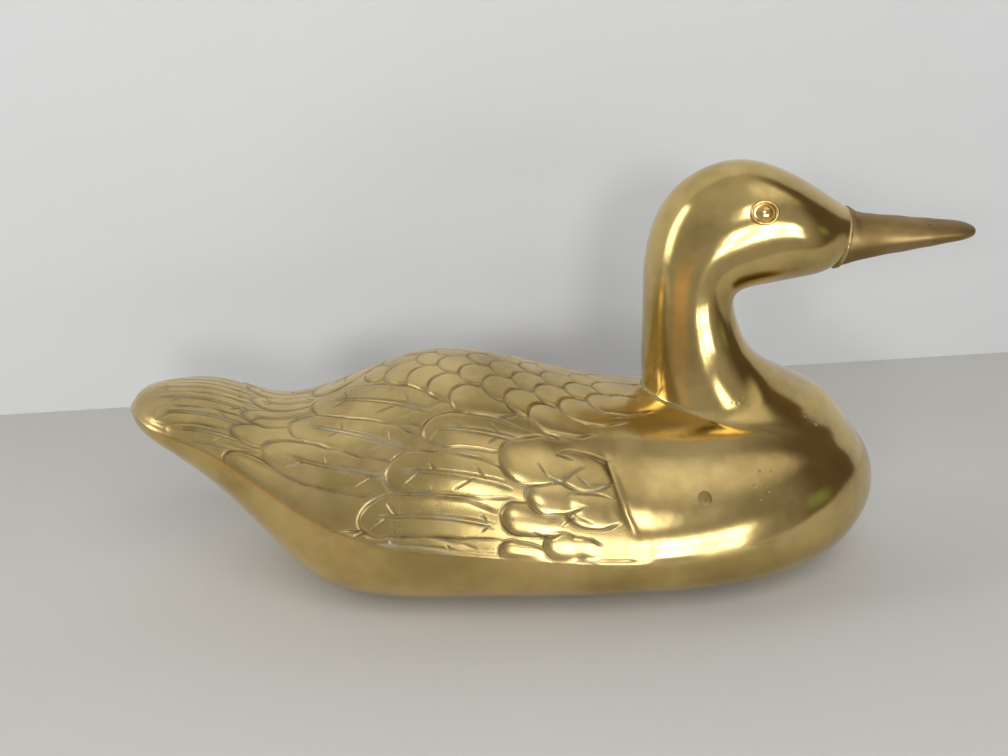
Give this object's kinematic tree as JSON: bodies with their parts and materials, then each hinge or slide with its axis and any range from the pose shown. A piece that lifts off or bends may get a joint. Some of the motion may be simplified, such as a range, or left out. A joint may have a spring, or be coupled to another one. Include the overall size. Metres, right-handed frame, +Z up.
{
  "type": "brass duck figurine",
  "caption": "Hollow cast brass duck ornament with feathered back, long level bill and raised eyes, standing on a flat belly.",
  "frame": {"origin": "on the table, under the middle of the duck's overall length, width and height box", "axes": "+X from the tail to the bill, +Y to the duck's left, +Z up from the table"},
  "size_m": [0.31, 0.119, 0.1515],
  "materials": {
    "feathered_brass": "satin polish, dark and grey-green residue in the grooves",
    "polished_brass": "mirror polish, slightly tarnished",
    "bill_brass": "dull brownish tarnish",
    "braze_metal": "bright lumpy filler metal",
    "plug_brass": "rough, filed flush"
  },
  "bodies": {
    "root": {"upper_body": "feathered_brass", "lower_hull": "polished_brass", "hull_braze_seam": "braze_metal", "head_and_neck": "polished_brass", "neck_braze_ring": "braze_metal", "bill": "bill_brass", "bill_braze_ring": "braze_metal", "right_eye": "polished_brass", "left_eye": "polished_brass", "breast_plug_right": "plug_brass", "breast_plug_left": "plug_brass"}
  },
  "joints": []
}
